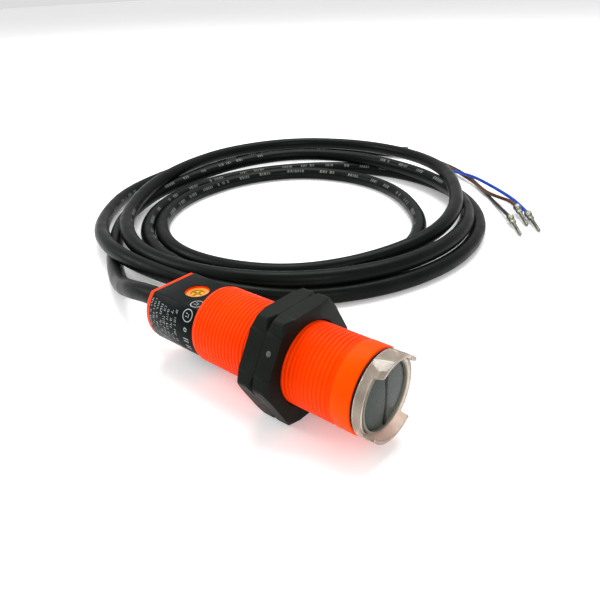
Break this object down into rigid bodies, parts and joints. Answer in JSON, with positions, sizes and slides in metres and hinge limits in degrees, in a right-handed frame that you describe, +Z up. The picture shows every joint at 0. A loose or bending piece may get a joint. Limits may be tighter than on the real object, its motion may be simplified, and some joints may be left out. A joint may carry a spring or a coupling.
{
  "type": "photoelectric sensor",
  "caption": "Cylindrical threaded photoelectric sensor with hexagon lock nuts, a clear front ring, a sensitivity adjuster and a coiled three-core cable.",
  "frame": {"origin": "on the surface the sensor lies on, under the middle of its body (the cable is not counted)", "axes": "+X along the barrel towards the lenses, +Z up, +Y towards the side where the cable is coiled"},
  "size_m": [0.1843, 0.1986, 0.024],
  "materials": {
    "housing": "orange moulded polyester, satin gloss",
    "label": "black printed film",
    "black_plastic": "matt black moulding",
    "black_rubber": "matt black",
    "bare_metal": "tinned, slightly dull",
    "clear_plastic": "clear acrylic, polished",
    "lens": "dark tinted acrylic, polished",
    "amber_plastic": "translucent amber",
    "circuit_board": "green laminate",
    "chip": "black epoxy",
    "adjuster": "yellow moulding",
    "nut_plastic": "black moulding, slight sheen",
    "cable_sheath": "black PVC, satin",
    "brown_wire": "brown PVC",
    "blue_wire": "blue PVC",
    "black_wire": "black PVC"
  },
  "bodies": {
    "sensor": {"housing": "housing", "label": "label", "rear_cap": "black_plastic", "cable_gland": "black_rubber", "crimp_ring": "bare_metal", "front_seal": "black_rubber", "front_ring": "clear_plastic", "lens_bezel": "clear_plastic", "emitter_lens": "lens", "receiver_lens": "lens", "optics_holder": "black_plastic", "emitter_lamp": "amber_plastic", "receiver_diode": "black_plastic", "front_board": "circuit_board", "main_board": "circuit_board", "amplifier_chip": "chip", "output_transistor": "chip", "capacitors": "chip", "indicator_lamp": "amber_plastic", "light_guide": "amber_plastic", "trimmer": "chip", "cable_lead": "cable_sheath", "cable_coil": "cable_sheath", "cable_tail": "cable_sheath", "brown_wire": "brown_wire", "blue_wire": "blue_wire", "black_wire": "black_wire", "brown_ferrule": "bare_metal", "blue_ferrule": "bare_metal", "black_ferrule": "bare_metal", "core_wires": "bare_metal"},
    "front_nut": {"front_nut": "nut_plastic"},
    "rear_nut": {"rear_nut": "nut_plastic"},
    "adjuster": {"adjuster_screw": "adjuster"}
  },
  "joints": [
    {"name": "front_nut_travel", "type": "slide", "parent": "sensor", "child": "front_nut", "axis": [1, 0, 0], "range_m": [0, 0.0112]},
    {"name": "rear_nut_travel", "type": "slide", "parent": "sensor", "child": "rear_nut", "axis": [1, 0, 0], "range_m": [-0.0182, 0]},
    {"name": "adjuster_turn", "type": "hinge", "parent": "sensor", "child": "adjuster", "pos_m": [-0.022, 0, 0.0155], "axis": [0, 0, 1], "range_deg": [-135, 135]}
  ]
}
